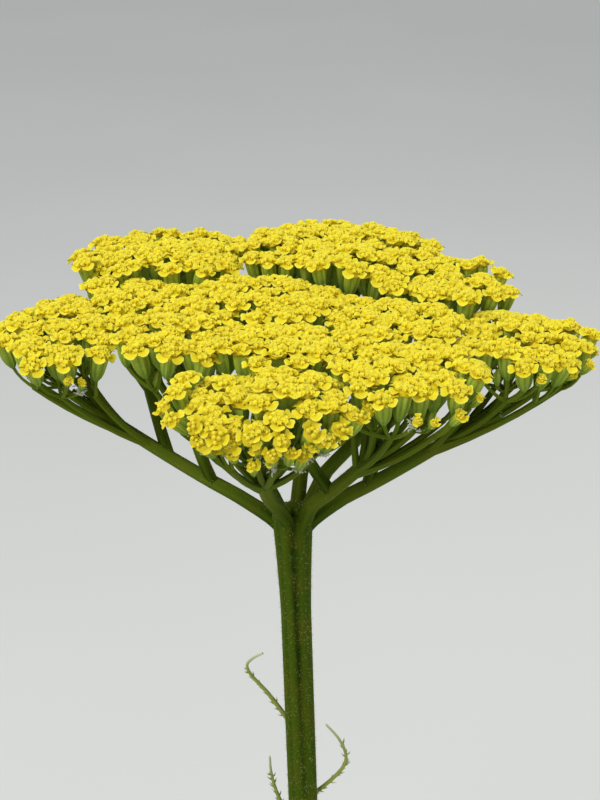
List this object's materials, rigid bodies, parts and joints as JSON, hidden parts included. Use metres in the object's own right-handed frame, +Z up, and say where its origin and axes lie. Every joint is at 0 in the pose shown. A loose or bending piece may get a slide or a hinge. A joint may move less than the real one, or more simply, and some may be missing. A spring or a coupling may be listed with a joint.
{
  "type": "potted fernleaf yarrow",
  "caption": "Flowering fernleaf yarrow clump in a round terracotta pot: ferny basal fronds and upright leafy stems with flat, plate-like yellow flower heads.",
  "frame": {"origin": "centre of the pot's base, on the surface it stands on", "axes": "+Z up along the pot's axis and the main stem; -Y towards the side that the picture shows, +X to its right"},
  "size_m": [0.2838, 0.2834, 0.5444],
  "materials": {
    "terracotta": "matte",
    "compost": "matte",
    "stem": "matte",
    "foliage": "matte",
    "florets": "matte"
  },
  "bodies": {
    "root": {"pot": "terracotta", "compost": "compost", "main_stem": "stem", "main_florets_back": "florets", "main_florets_back_left": "florets", "main_florets_back_right": "florets", "main_florets_front_left": "florets", "main_florets_front_right": "florets", "main_florets_left": "florets", "main_florets_left_back": "florets", "main_florets_middle_back": "florets", "main_florets_middle_front": "florets", "main_florets_middle_left": "florets", "main_florets_middle_right": "florets", "main_florets_right": "florets", "left_stem": "stem", "left_florets_middle": "florets", "left_florets_ring_1": "florets", "left_florets_ring_2": "florets", "left_florets_ring_3": "florets", "left_florets_ring_4": "florets", "left_florets_ring_5": "florets", "right_stem": "stem", "right_florets_middle": "florets", "right_florets_ring_1": "florets", "right_florets_ring_2": "florets", "right_florets_ring_3": "florets", "right_florets_ring_4": "florets", "right_florets_ring_5": "florets", "frond_01": "foliage", "frond_02": "foliage", "frond_03": "foliage", "frond_04": "foliage", "frond_05": "foliage", "frond_06": "foliage", "frond_07": "foliage", "frond_08": "foliage", "frond_09": "foliage", "frond_10": "foliage", "frond_11": "foliage", "frond_12": "foliage", "frond_13": "foliage", "frond_14": "foliage"}
  },
  "joints": []
}
